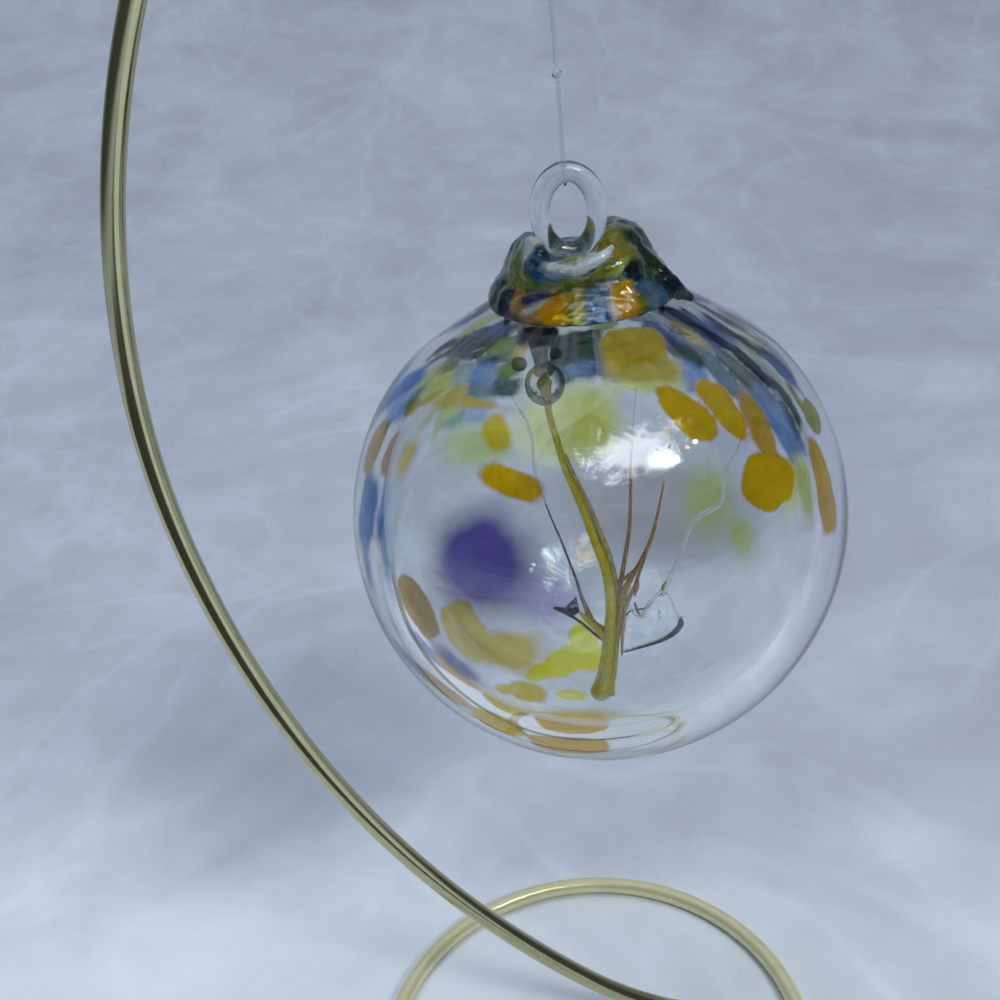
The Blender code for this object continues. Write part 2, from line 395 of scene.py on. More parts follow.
def nylonMaterial():
    material, tree, shader = startMaterial("clearNylon", Roughness=0.08, IOR=1.53, Transmission_Weight=0.94)
    shader.inputs["Base Color"].default_value = (0.9, 0.93, 0.96, 1)
    milk = cloudy(tree, objectPlace(tree), 900, 3)
    colour = mixColours(tree, milk, (0.80, 0.84, 0.90), (0.95, 0.97, 1.0))
    tree.links.new(colour, shader.inputs["Base Color"])
    return material


def makeThread(settings):
    material = nylonMaterial()
    route = [place(*point) for point in threadRoute(settings)]
    route = evenCurve(route, settings["step"] * mm)
    curve = roundCurve("thread", route, [1] * len(route), settings["radius"] * mm, 4)
    thread = addPiece("nylonThread", curve, material, "thread_nylon", "thread")
    bm = bmesh.new()
    bmesh.ops.create_icosphere(bm, subdivisions=4, radius=settings["knotRadius"] * mm)
    for vert in bm.verts:  # strands that wind round the knot
        around = math.atan2(vert.co.y, vert.co.x)
        wind = math.sin(settings["knotWinds"] * around + vert.co.z / mm * settings["knotTwist"])
        vert.co *= 0.96 + settings["knotRelief"] * wind
    bmesh.ops.translate(bm, verts=bm.verts, vec=place(settings["across"], 0, settings["knot"]))
    knot = addPiece("threadKnot", bmeshToMesh(bm, "threadKnot"), material, "thread_nylon", "thread_knot")


makeThread(threadSettings)


# Globe: a blown wall with flecks of colour in its outside

globeSettings = {
    "radius": 50.0,
    "innerRadius": 44.0,
    "innerLift": 0.3,
    "clearWithin": 46.0,
    "shoulderFlattening": 0.025,
    "shoulderAngle": 32.0,
    "shoulderSpread": 14.0,
    "waviness": 0.03,
    "innerWaviness": 0.05,
    "puddle": {"from": 0.86, "edge": 0.12, "depth": 0.9},
}

# flecks of each colour: around from the front, up from the equator, length, width, lean to the right,
# softness where it isn't 0.5, and narrowing where it isn't 0
globeFlecks = {
    "gold": ((16.6, 61.6, 11.5, 11.6, 12, 0.5, -0.05), (-33, -25.8, 11, 8.6, -72, 0.4)),
    "mustard": (
        (17.5, 57.2, 6.5, 13.5, 14, 0.9, 0.1), (-68.5, 42.8, 4.4, 4.4, 10, 0.4),
        (-45, 48.9, 15.5, 2.4, 84, 0.6, 0.35), (-53.5, 49.5, 6, 3.6, 30, 0.6),
        (-63, 46, 9, 1.4, 32, 0.5, 0.2), (-22, -11, 5.4, 6.6, 0, 0.45), (-27, -11.3, 4.4, 3, 80),
    ),
    "amber": (
        (22.4, 45, 12.4, 6.6, -23, 0.25, 0.2), (34.2, 42.8, 13.2, 5.4, -2, 0.25, -0.25),
        (36.7, 26.2, 10, 12.2, 10, 0.25), (-25.3, 34, 12.4, 5, -75, 0.4, 0.1),
    ),
    "brown": ((41.4, 37, 14, 5.4, 10),),
    "deepAmber": (
        (55, 18, 19.5, 7, 11, 0.4, 0.2), (-21.8, 33.3, 6.4, 4.2, -72, 0.6),
        (-16.2, -32.2, 15.4, 9.6, 86, 0.35),
    ),
    "olive": ((65, 30.5, 6.6, 7.5, -15, 0.4),),
    "honey": ((-31.7, 43.4, 7.8, 4.9, -34),),
    "rust": ((-77, 30, 12, 7.5, 5, 0.5, 0.1), (-47, 3.5, 13.2, 8, -38, 0.35), (-46.5, -18.8, 15, 5.6, -64)),
    "ochre": (
        (-58, 33.5, 7.5, 4.2, 4, 1.2), (-34, 1.5, 12.5, 9, -28), (-27, -1, 17, 8.5, 87, 1.6, -0.25),
        (-11, -17.5, 14, 3.6, -85, 1.2),
    ),
    "lime": (
        (-50, 46.5, 5, 2, 20), (-57, 44, 9, 1.5, 12, 0.6, 0.2), (-52, 44, 8, 1.6, -6, 0.6, 0.2),
        (47, 21.5, 11, 4.6, 18, 0.8), (136, -21, 15, 19, 89, 4.5), (119, -28, 14, 9, 56, 3),
    ),
    "mauve": ((-56, -15, 12, 4, -50), (-38, -7.7, 13, 4.2, -59, 1, 0.1)),
    "purple": ((-135, -33.4, 35, 28, 78, 5.8), (-141, -27.5, 24, 17, 84, 5.4)),
    "citron": ((175, 2, 15, 16, 85, 4.5),),
    "yellow": (
        (-125, -74, 27, 9, 74, 0.5, 0.45), (-165, -72, 18, 8, -14, 0.5, 0.3), (-61, -77, 9, 5.5, -14, 0.6),
    ),
}

# a layer under the flecks: streaks round the shoulder, the rim's blues and the hazes of the far side
globeBand = {
    "lime": (
        (-79, 65.5, 11, 3.6, 20, 0.6), (-72, 49.6, 9, 4.4, 6, 0.8), (-65, 50.5, 7, 3.4, 20, 0.7),
        (63, 45, 12, 1.4, 11, 0.4), (-147, 1, 26, 13, 64, 4),
    ),
    "navy": (
        (-67, 62.4, 14, 7, 44, 0.6), (-47, 60, 9.5, 3, 66, 0.4), (54, 65.5, 9, 5, -22),
        (69, 58, 12, 2.4, 9), (50.4, 33.8, 10, 2.6, 6), (150, 57, 15, 8, 0),
    ),
    "blue": (
        (-59, 66.3, 7, 5, 52), (69, 42, 12, 5, 12, 0.6), (50.5, 54.5, 8, 2.4, 8, 0.6),
        (-70, 16.5, 17, 9.5, 2, 1.2), (113, 49, 16, 6, 6, 0.5, 0.1), (-176, 57, 15, 7, 8),
    ),
    "violet": ((-84, 56.5, 8, 3, 18), (-34, 67.2, 8, 5.4, 79, 0.35)),
    "plum": (
        (-80, 52.5, 7, 2, 14), (78, 57, 14, 3, 7), (103, 48.5, 11, 4, 37, 0.6),
        (-162, 51, 16, 8, 0, 0.5, 0.1), (-104.6, 55.5, 5.5, 2.6, 12, 0.6),
    ),
    "moss": (
        (-76, 57, 6, 2.4, 30), (-61, 59, 8, 2.4, 60), (68, 51, 9, 2.6, 8), (51.6, 45.5, 9, 2, 10),
        (88, 47, 20, 3.4, 0, 0.6), (-126, 57, 13, 6, 0),
    ),
    "olive": ((-71, 53.4, 9, 2.4, 8), (-68, 53.6, 7, 3.5, 50, 0.6), (63, 35.5, 8, 2.2, 14)),
    "citron": ((-64, 49, 9, 7, 30, 1),),
    "mustard": (
        (-54.5, 47.4, 6.5, 4, 60, 0.7), (46.6, 60.8, 8.5, 4, -3, 0.35), (76, 50, 9, 2.4, 8),
        (98.5, 43, 7, 1, 40, 0.4),
    ),
    "sea": ((-57, 54, 7, 6, 0, 0.9), (-49, 45, 6.5, 5, 76, 1)),
    "azure": (
        (-49, 55.8, 9, 6, 80, 0.8), (-86, 41, 21, 7, 32, 1, 0.1), (63.5, 57.5, 9.5, 3, 9),
        (32, 52.5, 8, 6, 0, 0.6), (49, 35.5, 16.5, 7.4, 0), (-97, 39, 14, 8, 12, 1.2),
    ),
    "slate": (
        (-45, 51.5, 8, 4.5, 84, 0.8), (-14, 57.5, 4, 4, 0, 0.8), (42, 49.3, 13.5, 4.4, 1, 0.6),
        (44.5, 55, 9, 2.4, 0), (41, 61.5, 8, 2.6, -20, 0.6),
    ),
    "leaf": ((-48, 63.5, 7.5, 5.5, 80, 0.6), (-38, 58, 6, 3.8, 75, 0.6), (166, 51, 18, 8, -10, 0.6, 0.1)),
    "ochre": ((-37, 62.6, 4, 3.6, 0, 0.7),),
    "teal": ((-36, 54, 7, 4.4, 88, 0.7), (-146, 57, 15, 8, -6, 0.6)),
    "ink": ((-25, 67.6, 4, 4.5, 73, 0.4), (57, 48, 14, 3.6, 7)),
    "fog": ((-25, 62, 3, 4, 0, 0.8), (154, -27, 54, 25, 90, 6)),
    "sky": ((-41, 46.5, 5, 3.6, 79, 1),),
    "deepTeal": ((-9, 64.6, 10, 8, 90), (36, 58, 9, 5, -30, 0.6)),
    "darkGreen": (
        (-17, 61.5, 6, 3.6, 0), (3.5, 61, 11, 4.2, 8), (58, 37.5, 14, 2.8, 10), (49, 49, 14, 4, 9, 0.4),
        (122, 57, 16, 8, -8, 0.6),
    ),
    "cobalt": (
        (-1, 64.5, 7.5, 2.4, 5, 0.4), (-2, 58.4, 6, 3, 84, 0.7), (33, 63, 11, 5, -10),
        (56.5, 61.6, 10, 5, 14), (50.8, 41.8, 9, 4, 2), (52.6, 33.8, 9, 3.4, 12), (57, 58, 11, 4.4, 8),
        (51.5, 38, 6, 1.6, 12), (134, 50, 18, 7, 5, 0.5, 0.1), (-137, 50, 18, 7, 6, 0.5, 0.1),
    ),
    "denim": ((-6, 59, 9, 4.4, -82, 0.9), (92, 38.5, 13, 5, 50, 0.8), (-69, 8, 18, 5, -14, 1.4)),
    "lemon": (
        (18, 53.8, 5, 14, 10, 1), (28, 54.5, 7, 2.4, 40, 0.7), (-177, 0, 29, 22, 76, 4.5),
        (100, -4, 17, 8, 0, 1.5),
    ),
    "gold": ((46, 60.6, 6.5, 2, -3, 0.4),),
    "lilac": ((-150, -50, 26, 14, 50, 4.5, 0.2),),
}


def globeReach(angle):  # outer radius at an angle in degrees from the top
    off = (angle - globeSettings["shoulderAngle"]) / globeSettings["shoulderSpread"]
    return globeSettings["radius"] * (1 - globeSettings["shoulderFlattening"] * math.exp(-off * off))


def reachTowards(way):
    return globeReach(math.degrees(way.angle(upward)))


def spotOnGlobe(turn, up):  # which way is outward there, and the place
    rise = math.radians(up)
    outward = Vector((math.sin(turn) * math.cos(rise), -math.cos(turn) * math.cos(rise), math.sin(rise)))
    return outward, outward * globeSettings["radius"]


def clearGlassMaterial(name, colour):
    material, tree, shader = startMaterial(name, Roughness=0.0, IOR=1.5, Transmission_Weight=1.0)
    shader.inputs["Base Color"].default_value = (*colour, 1)
    haze = cloudy(tree, objectPlace(tree), 180, 3, spread=0.15)
    pale = tuple(min(1.0, channel * 1.04) for channel in colour)
    tree.links.new(mixColours(tree, haze, colour, pale), shader.inputs["Base Color"])
    return material


def fleckedGlassMaterial():
    material, tree, shader = startMaterial("fleckedGlass", Roughness=0.0, IOR=1.5, Transmission_Weight=1.0)
    vector = objectPlace(tree)
    flow = readAttribute(tree, "flow", "Vector")
    height = addNode(tree, "SeparateXYZ", {0: vector}).outputs[2]
    streaks = cloudy(tree, flow, 0.7, 2, 0.5, 0.3)
    streaks = maths(tree, "MULTIPLY", streaks, remap(tree, height, 0.018, 0.032))
    clear = mixColours(tree, streaks, (0.93, 0.955, 0.965), (0.955, 0.975, 0.98))
    band = fleckLayer(tree, "band", clear, vector, 0.3, 0.35)
    light = mixColours(tree, 0.5, band, (1.0, 1.0, 1.0))
    band = mixColours(tree, remap(tree, streaks, 0.5, 1.0, 0.0, 0.14), band, light)
    colour = fleckLayer(tree, "fleck", band, vector, 0.22, 0.18)
    tree.links.new(colour, shader.inputs["Base Color"])
    return material


def makeGlobe(settings):
    bm = bmesh.new()
    bmesh.ops.create_icosphere(bm, subdivisions=7, radius=1)
    for vert in bm.verts:
        vert.co *= reachTowards(vert.co) + settings["waviness"] * noise.noise(vert.co * 2.6)
    inside = bmesh.ops.create_icosphere(bm, subdivisions=6, radius=1)["verts"]
    puddle = settings["puddle"]
    for vert in inside:  # the inner wall follows the shoulder and is thicker at the bottom
        wave = noise.noise(vert.co * 2.2 + Vector((7, 3, 1)))
        reach = reachTowards(vert.co) + settings["innerWaviness"] * wave
        reach -= settings["radius"] - settings["innerRadius"]
        low = smoothStep((-vert.co.z - puddle["from"]) / puddle["edge"])
        reach -= low * puddle["depth"] * (0.6 + noise.noise(vert.co * 5.5))
        vert.co = vert.co * reach + Vector((0, 0, settings["innerLift"]))
    bmesh.ops.reverse_faces(bm, faces=list({face for vert in inside for face in vert.link_faces}))
    toItsPlace(bm)
    mesh = bmeshToMesh(bm, "blownGlobe", recalculate=False)
    paintFlecks(mesh, "band", globeBand, spotOnGlobe, wobble=0.25, deepen=2)
    paintFlecks(mesh, "fleck", globeFlecks, spotOnGlobe, wobble=0.16, deepen=2)
    paintFlow(mesh)
    for name in ("bandEdge", "fleckEdge"):  # the colour is in the wall's outside only
        for vert, value in zip(mesh.vertices, mesh.attributes[name].data):
            if fromCentre(vert.co).length < settings["clearWithin"]:
                value.value = noColour
    addPiece("blownGlobe", mesh, fleckedGlassMaterial(), "globe_glass", "globe")
    print("globe", len(mesh.polygons), "faces")


makeGlobe(globeSettings)


def strandMaterial(name, pale, deep, transmission, scale=(1, 1, 0.12), glow=0.0):
    material, tree, shader = startMaterial(name, Roughness=0.05, IOR=1.5, Transmission_Weight=transmission)
    shader.inputs["Emission Color"].default_value = (*pale, 1)
    shader.inputs["Emission Strength"].default_value = glow
    streak = cloudy(tree, objectPlace(tree, scale), 3200, 3, spread=0.15)
    tree.links.new(mixColours(tree, streak, deep, pale), shader.inputs["Base Color"])
    return material


# Cap: a gather of coloured glass, folded and twisted over the globe's neck

capSettings = {
    "outline": (
        (17.5, 46.7), (18, 47.3), (17.6, 48.4), (16.8, 49.6), (15.8, 50.8), (14.9, 51.9), (14.1, 53.2),
        (13.4, 55), (12.2, 57), (10.8, 58.7), (8.8, 60), (6.6, 60.5), (4, 60), (0, 59.2),
    ),
    "steps": 128,
    "clearance": 0.35,
    "settling": 3.0,
    "folds": 5,
    "foldDepth": 0.5,
    "foldTwist": 0.12,
    "lumps": 0.7,
    "saddle": {"middle": -1.4, "reach": 6.0, "front": -11.5, "floor": 54.2, "depth": 4.6},
    "voxel": 0.4,
    "melting": 7,
    "ripples": ((0.16, 0.55), (0.02, 1.3)),
    "paleThread": (
        (-8.4, -9.8, 56.4, 0.3), (-6.6, -11.3, 56, 0.7), (-4.2, -12.5, 55.7, 0.85),
        (-1.6, -12.9, 55.8, 0.85), (0.9, -12.5, 56.5, 0.9), (3.2, -11.6, 57.3, 0.95),
        (4.8, -10.4, 58.3, 0.5),
    ),
}

# lumps and threads of glass that lie on the cap: x, y, z, radius along each
capThreads = {
    "knob": ((4.8, -4.8, 57.2, 2), (6.6, -4, 57.8, 2.6), (8.2, -3.4, 56.6, 2.2)),
    "rightLobe": (
        (9.4, -4.5, 55.6, 2.2), (12, -5, 52.6, 2.2), (14.8, -5.6, 49.8, 2.1), (17, -6, 47.6, 1.8),
        (18.6, -5.8, 46.6, 1.2), (19.6, -5.8, 45.9, 0.8),
    ),
    "lip": (
        (-9.4, -8.6, 57, 0.8), (-7.2, -10.8, 56.2, 1.2), (-3.6, -12.4, 55.5, 1.3), (-0.4, -12.6, 55.9, 1.3),
        (2.4, -11.7, 57, 1.1), (4.6, -10.4, 57.8, 0.8),
    ),
    "foldEdge": (
        (4, -12.6, 55.2, 0.5), (6.2, -11.6, 55.8, 0.7), (8.2, -9.8, 57, 0.6), (9.6, -8.2, 57.4, 0.5),
    ),
    "leftShoulder": ((-9.6, 1, 57.4, 1.6), (-8.6, -3, 58, 1.8), (-7.6, -6.4, 57.6, 1.5)),
    "twist": (
        (-13.6, -9.6, 50, 0.5), (-11, -12.4, 51.4, 0.7), (-7.6, -14.4, 52.4, 0.7), (-4.4, -14.8, 53.2, 0.5),
    ),
}

# flecks of each colour: around from the front, height, length, width, lean, and softness as above
capFlecks = {
    "navy": ((-64, 49.4, 5, 5, 0, 0.25), (67, 50, 5, 5, 10, 0.4), (-145, 55, 7, 7, 0, 0.4)),
    "amber": (
        (-51, 50.2, 4, 5, 20, 0.25), (-23, 49.4, 5, 6.6, 0, 0.2), (-18, 51.3, 6, 1.6, 75, 0.3),
        (22, 50, 6, 6, 0, 0.2), (130, 50, 7, 8, 0, 0.4), (-125, 50, 6, 8, 0, 0.4),
    ),
    "plum": ((-52, 48.2, 3, 5, 0, 0.3), (-112, 55, 7, 7, 0, 0.4)),
    "purple": ((-38, 51.2, 10, 1.8, 68, 0.2),),
    "ice": (
        (-38, 49.7, 9, 1.4, 62, 0.2), (13.5, 50, 6, 2.6, 5, 0.3), (-64, 58.8, 5, 5, 0),
        (-36, 56.6, 6, 1.8, 70, 0.25), (-16, 55.6, 8, 2.4, 88, 0.25), (0, 56.4, 7, 2.2, 70, 0.25),
        (13, 57.6, 6, 2, 66, 0.25),
    ),
    "rust": ((-40, 48.1, 6, 2.2, 80, 0.3),),
    "olive": (
        (-9, 50, 6, 5.6, 0, 0.2), (31, 49.4, 4, 3, 0, 0.3), (-62, 53.6, 9, 4.6, 80, 0.4),
        (-15, 53.5, 9, 2.2, 86, 0.3), (12, 55, 5, 2.4, 75, 0.3), (40, 58.6, 6, 6, 0, 0.4),
        (-148, 50, 6, 7, 0, 0.4),
    ),
    "blue": (
        (4, 50.1, 6, 6.2, 0, 0.2), (36, 51.2, 5, 2.2, 85, 0.3), (51, 49.5, 5, 2.6, 25, 0.3),
        (-30, 54.8, 9, 1.8, 82, 0.3), (112, 55, 7, 8, 0, 0.4), (-98, 50, 6, 7, 0, 0.4),
    ),
    "cobalt": ((3, 48, 6, 1.8, 85, 0.3), (-42, 57.2, 7, 5.5, 30, 0.3), (-170, 50, 7, 6, 0, 0.4)),
    "slate": ((42, 49.3, 5, 4.5, 0, 0.4), (72, 48, 5, 5, 0), (-172, 56, 6, 8, 0, 0.4)),
    "ink": (
        (60, 49.5, 5, 4, 10, 0.4), (-32, 52.2, 14, 1.1, 84, 0.2), (1, 53, 9, 1.6, 88, 0.3),
        (38, 54, 4.5, 4.5, 0, 0.3), (58, 58, 5, 5, 0), (72, 54, 10, 6, 10), (73, 46.6, 4, 5, 10, 0.4),
    ),
    "leaf": ((-76, 56, 6, 5, 0), (-44, 53.4, 8, 2.6, 85, 0.3), (165, 49.5, 6, 7, 0, 0.4)),
    "deepAmber": ((28, 57.8, 3, 2.4, 0, 0.3),),
    "lime": ((26, 55.4, 6, 1.2, 60, 0.25),),
    "teal": ((51, 52.8, 5, 4, 0, 0.4), (90, 50, 7, 8, 0, 0.4)),
    "deepTeal": ((60, 54.5, 5, 4, 0, 0.4),),
    "darkGreen": ((150, 55, 7, 8, 0, 0.4), (-84, 49.5, 6, 5, 0, 0.4)),
}


def capReach(height):  # radius of the cap's outline at a height
    outline = capSettings["outline"]
    for (outer, low), (inner, high) in zip(outline[2:], outline[3:]):
        if low <= height <= high:
            return outer + (inner - outer) * (height - low) / (high - low)
    return outline[2][0]


def spotOnCap(turn, height):  # which way is outward there, and the place
    outward = Vector((math.sin(turn), -math.cos(turn), 0))
    return outward, outward * capReach(height) + Vector((0, 0, height))


def capGlassMaterial():
    material, tree, shader = startMaterial("gatheredGlass", Roughness=0.1, IOR=1.5, Transmission_Weight=0.7)
    shader.inputs["Specular IOR Level"].default_value = 0.25
    shader.inputs["Specular Tint"].default_value = (0.5, 0.5, 0.5, 1)
    vector = objectPlace(tree, scale=(1, 1, 2.4))
    ramp = addNode(tree, "ValToRGB", {"Fac": addNoise(tree, vector, 120, 4, 0.55, 1.4)})
    elements = ramp.color_ramp.elements
    elements[0].position, elements[1].position = 0.32, 0.76
    for position, name in ((0.42, "navy"), (0.49, "slate"), (0.56, "olive"), (0.64, "darkGreen")):
        elements.new(position).color = (*glassColours[name], 1)
    elements[0].color = (*glassColours["teal"], 1)
    elements[-1].color = (*glassColours["sea"], 1)
    colour = fleckLayer(tree, "fleck", ramp.outputs["Color"], vector, 0.35, 0.4)
    tree.links.new(colour, shader.inputs["Base Color"])
    return material


def spinProfile(bm, profile, steps):  # profile points are (radius, height), turned about the z axis
    verts = [bm.verts.new((radius, 0, height)) for radius, height in profile]
    edges = [bm.edges.new(pair) for pair in zip(verts, verts[1:])]
    about = {"cent": (0, 0, 0), "axis": (0, 0, 1), "angle": math.tau}
    bmesh.ops.spin(bm, geom=verts + edges, steps=steps, use_merge=True, **about)
    bmesh.ops.remove_doubles(bm, verts=bm.verts, dist=1e-4)
    bmesh.ops.recalc_face_normals(bm, faces=bm.faces)


def tubeMesh(name, points, radii, sides, closed=False):
    curve = roundCurve(name, points, radii, 1.0, sides // 2 - 2, closed)
    guide = bpy.data.objects.new(name, curve)
    mesh = bpy.data.meshes.new_from_object(guide)
    bpy.data.objects.remove(guide)
    bpy.data.curves.remove(curve)
    mesh.name = name
    mesh.shade_smooth()
    return mesh


def addMesh(bm, mesh):  # into the bmesh, and away
    bm.from_mesh(mesh)
    bpy.data.meshes.remove(mesh)


def addStrand(bm, points, sides=16, count=10):  # a rounded bar: points are x, y, z and radius
    line = smoothCurve([Vector(point) for point in points], count)
    first, last = line[0], line[-1]
    for end, inner in ((first, line[1]), (last, line[-2])):
        way = (end - inner).xyz.normalized()
        tips = []
        for part in (0.5, 0.85, 0.99):
            tips.append(Vector((*(end.xyz + way * end.w * part), end.w * math.sqrt(1 - part**2))))
        line = tips[::-1] + line if end is first else line + tips
    addMesh(bm, tubeMesh("strand", [point.xyz for point in line], [point.w for point in line], sides))


def meltTogether(bm, name, voxel, melting):  # one skin round everything in the bmesh, then smoothed
    mesh = bpy.data.meshes.new(name)
    bm.to_mesh(mesh)
    bm.free()
    guide = addToScene(name, mesh)
    remesh = guide.modifiers.new("skin", "REMESH")
    remesh.mode = "VOXEL"
    remesh.voxel_size = voxel
    evaluated = guide.evaluated_get(bpy.context.evaluated_depsgraph_get())
    bm = bmesh.new()
    bm.from_mesh(evaluated.to_mesh())
    bpy.data.objects.remove(guide)
    bpy.data.meshes.remove(mesh)
    everyWay = {"use_axis_x": True, "use_axis_y": True, "use_axis_z": True}
    for _ in range(melting):
        bmesh.ops.smooth_vert(bm, verts=bm.verts, factor=0.5, **everyWay)
    return bm


def finishPiece(bm, name, material, slot):
    toItsPlace(bm)
    addPiece(name, bmeshToMesh(bm, name), material, slot)


def foldCap(vert, settings):  # the saddle under the loop, the folds and the lumps, above the globe only
    above = vert.co.length - reachTowards(vert.co) - settings["clearance"]
    settled = smoothStep(above / settings["settling"])
    if settled == 0:
        return
    saddle = settings["saddle"]
    flat = Vector((vert.co.x, vert.co.y, 0))
    across = (vert.co.x - saddle["middle"]) / saddle["reach"]
    high = smoothStep((vert.co.z - saddle["floor"]) / 4) * smoothStep((vert.co.y - saddle["front"]) / 3)
    vert.co.z -= saddle["depth"] * math.exp(-(across**4)) * high
    if flat.length > 1:
        around = math.atan2(vert.co.y, vert.co.x)
        fold = math.sin(settings["folds"] * around + settings["foldTwist"] * vert.co.z)
        lump = settings["lumps"] * noise.noise(vert.co * 0.3)
        vert.co += flat.normalized() * (settings["foldDepth"] * fold + lump) * settled


def makeCap(settings):
    bm = bmesh.new()
    under = []
    for angle in range(0, 24, 4):  # along the globe's top
        reach = globeReach(angle) + settings["clearance"]
        under.append((math.sin(math.radians(angle)) * reach, math.cos(math.radians(angle)) * reach))
    outline = smoothCurve([Vector(point) for point in settings["outline"]], 5)
    spinProfile(bm, under + [tuple(point) for point in outline], settings["steps"])
    for vert in bm.verts:
        foldCap(vert, settings)
    for points in capThreads.values():
        addStrand(bm, points)
    bm = meltTogether(bm, "glassCap", settings["voxel"], settings["melting"])
    for vert in bm.verts:  # small ripples left by the twisting
        way = Vector((vert.co.x, vert.co.y, vert.co.z * 1.8))
        vert.co += vert.normal * sum(depth * noise.noise(way * fine) for depth, fine in settings["ripples"])
    toItsPlace(bm)
    mesh = bmeshToMesh(bm, "glassCap")
    paintFlecks(mesh, "fleck", capFlecks, spotOnCap, wobble=0.2, deepen=1.3)
    addPiece("glassCap", mesh, capGlassMaterial(), "cap_glass", "cap")
    bm = bmesh.new()
    addStrand(bm, settings["paleThread"], sides=20)
    ice = strandMaterial("iceThread", (0.84, 0.90, 0.94), (0.46, 0.58, 0.70), 0.45, (0.12, 0.6, 0.6))
    finishPiece(bm, "capThread", ice, "cap_glass")
    print("cap", len(mesh.polygons), "faces")


makeCap(capSettings)


# Hanging loop: a clear rod bent to an oval ring

loopSettings = {
    "middle": (-1.5, 0.0, 62.7),
    "halfWidth": 5.3,
    "halfHeight": 7.4,
    "rod": 1.88,
    "thickEnds": 0.08,
    "waviness": 0.04,
    "steps": 120,
    "sides": 24,
}


def makeLoop(settings):
    x, y, z = settings["middle"]
    points, radii = [], []
    for step in range(settings["steps"]):
        turn = math.tau * step / settings["steps"]
        across = settings["halfWidth"] * math.cos(turn)
        points.append(place(x + across, y, z + settings["halfHeight"] * math.sin(turn)))
        thick = 1 + settings["thickEnds"] * abs(math.sin(turn)) ** 3
        thick += settings["waviness"] * math.sin(3 * turn + 0.6)
        radii.append(settings["rod"] * mm * thick)
    mesh = tubeMesh("hangingLoop", points, radii, settings["sides"], closed=True)
    material = clearGlassMaterial("loopGlass", (0.86, 0.91, 0.92))
    addPiece("hangingLoop", mesh, material, "loop_glass", "hanging_loop")
    print("loop")


makeLoop(loopSettings)


# Tree inside: a trunk and strands drawn out of the hot glass, from the bottom up to the sealing drip

strandFinishes = {  # pale and deep colour, share of light let through, streaks' scale, glow
    "yellow": ((0.90, 0.80, 0.02), (0.58, 0.50, 0.005), 0.35),
    "honey": ((0.84, 0.72, 0.22), (0.50, 0.38, 0.05), 0.45),
    "amber": ((0.66, 0.46, 0.14), (0.36, 0.20, 0.04), 0.4),
    "mauve": ((0.40, 0.35, 0.38), (0.16, 0.13, 0.13), 0.5),
    "smoke": ((0.12, 0.15, 0.13), (0.03, 0.045, 0.045), 0.3),
    "violet": ((0.07, 0.06, 0.13), (0.02, 0.02, 0.06), 0.3),
    # the pale and veil finishes glow faintly: painted light that brightens them inside the globe
    "pale": ((0.92, 0.95, 0.98), (0.70, 0.76, 0.80), 0.6, (1, 1, 0.12), 0.04),
    "veil": ((0.92, 0.94, 0.94), (0.70, 0.74, 0.74), 0.6, (1, 1, 0.12), 0.04),
    "mist": ((0.64, 0.68, 0.60), (0.36, 0.40, 0.35), 0.5, (0.4, 0.4, 0.15)),
    "casing": ((0.74, 0.66, 0.34), (0.44, 0.36, 0.12), 0.4),
    "green": ((0.30, 0.44, 0.10), (0.16, 0.28, 0.04), 0.3),
}
# the last is dark glass that paints the drop's dark edge and the cap's dark refraction beside the stem
clearFinishes = {"clear": (0.94, 0.96, 0.96), "drip": (0.84, 0.90, 0.78), "paintedRefraction": (0.22, 0.28, 0.22)}

